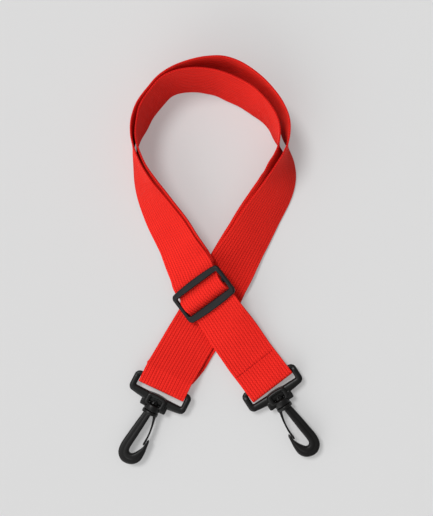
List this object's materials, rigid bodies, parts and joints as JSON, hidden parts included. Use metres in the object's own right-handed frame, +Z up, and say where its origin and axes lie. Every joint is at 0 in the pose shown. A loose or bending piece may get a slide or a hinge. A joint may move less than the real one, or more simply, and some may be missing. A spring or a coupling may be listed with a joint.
{
  "type": "luggage strap",
  "caption": "Adjustable luggage strap: flat webbing doubled through a three-bar slider, with a swivel snap hook at each end.",
  "frame": {"origin": "centre of the footprint of the strap as it lies, on the surface that it lies on", "axes": "+Z up from that surface, +Y from the hooks towards the standing loop, +X to the side of the right hook, whose end carries the visible stitching"},
  "size_m": [0.155, 0.3088, 0.038],
  "materials": {
    "webbing": "matte ribbed woven webbing, bright red",
    "thread": "matte sewing thread, red",
    "slider_plastic": "satin black moulded plastic",
    "hook_plastic": "satin black moulded plastic"
  },
  "bodies": {
    "strap": {"hook_end_fold": "webbing", "adjusting_run": "webbing", "outer_left_run": "webbing", "outer_right_run": "webbing", "hook_turn_fold": "webbing", "return_left_run": "webbing", "return_right_run": "webbing", "slider_end_tail": "webbing", "hook_end_stitching": "thread", "slider_end_stitching": "thread"},
    "slider": {"slider": "slider_plastic", "window_fold": "webbing", "slider_end_fold": "webbing"},
    "left_base": {"left_swivel_base": "hook_plastic"},
    "right_base": {"right_swivel_base": "hook_plastic"},
    "left_hook": {"left_hook": "hook_plastic"},
    "right_hook": {"right_hook": "hook_plastic"},
    "left_gate": {"left_gate": "hook_plastic"},
    "right_gate": {"right_gate": "hook_plastic"}
  },
  "joints": [
    {"name": "slider_slide", "type": "slide", "parent": "strap", "child": "slider", "axis": [0.6, -0.8, 0], "range_m": [0, 0.024], "deforming": ["adjusting_run", "outer_left_run", "return_left_run", "slider_end_tail"]},
    {"name": "left_base_hinge", "type": "hinge", "parent": "strap", "child": "left_base", "pos_m": [-0.0423, -0.0932, 0.0065], "axis": [0.891, -0.454, 0], "range_deg": [-80, 80]},
    {"name": "left_hook_swivel", "type": "hinge", "parent": "left_base", "child": "left_hook", "pos_m": [-0.0528, -0.1139, 0.0065], "axis": [-0.454, -0.891, 0], "continuous": true},
    {"name": "left_gate_flex", "type": "hinge", "parent": "left_hook", "child": "left_gate", "pos_m": [-0.0505, -0.1187, 0.0065], "axis": [0, 0, -1], "range_deg": [0, 14], "stiffness_Nm_per_rad": 0.4},
    {"name": "right_base_hinge", "type": "hinge", "parent": "strap", "child": "right_base", "pos_m": [0.0374, -0.0902, 0.0065], "axis": [0.8434, 0.5373, 0], "range_deg": [-80, 80]},
    {"name": "right_hook_swivel", "type": "hinge", "parent": "right_base", "child": "right_hook", "pos_m": [0.0499, -0.1098, 0.0065], "axis": [0.5373, -0.8434, 0], "continuous": true},
    {"name": "right_gate_flex", "type": "hinge", "parent": "right_hook", "child": "right_gate", "pos_m": [0.0481, -0.1148, 0.0065], "axis": [0, 0, 1], "range_deg": [0, 14], "stiffness_Nm_per_rad": 0.4}
  ]
}
